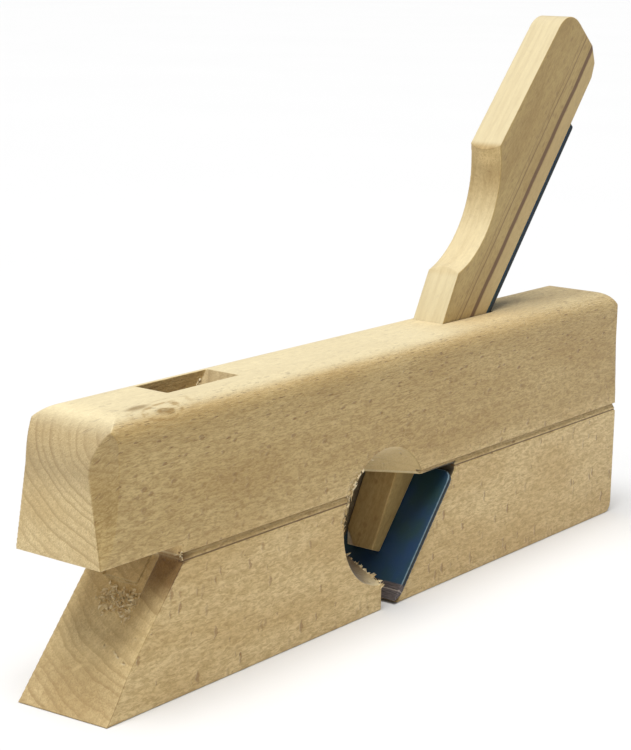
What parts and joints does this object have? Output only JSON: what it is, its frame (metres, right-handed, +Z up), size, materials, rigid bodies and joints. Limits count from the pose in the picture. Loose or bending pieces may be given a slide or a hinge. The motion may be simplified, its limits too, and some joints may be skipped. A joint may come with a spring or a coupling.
{
  "type": "wooden rebate plane",
  "caption": "Narrow wooden rebate plane with a T-shaped full-width iron and a wedge, a round side escapement and a second bullnose iron seat at the toe.",
  "frame": {"origin": "centre of the sole: middle of the length and of the width, on the face that slides on the work", "axes": "+X along the sole from the toe to the heel, +Z up from the sole, +Y to the right of someone who pushes the plane towards the toe; the wide mouth of the escapement is on the -Y side"},
  "size_m": [0.262, 0.031, 0.1735],
  "materials": {
    "beech_stock": "bare sanded beech, satin",
    "blue_iron": "dark blue paint, satin, with bare ground steel at the cutting edge",
    "beech_wedge": "bare sanded beech, slightly darker, satin"
  },
  "bodies": {
    "stock": {"stock": "beech_stock"},
    "iron": {"iron": "blue_iron"},
    "wedge": {"wedge": "beech_wedge"}
  },
  "joints": [
    {"name": "iron_slide", "type": "slide", "parent": "stock", "child": "iron", "axis": [0.6428, 0, 0.766], "range_m": [-0.13, 0.0015]},
    {"name": "wedge_slide", "type": "slide", "parent": "stock", "child": "wedge", "axis": [0.6428, 0, 0.766], "range_m": [0, 0.1]}
  ]
}
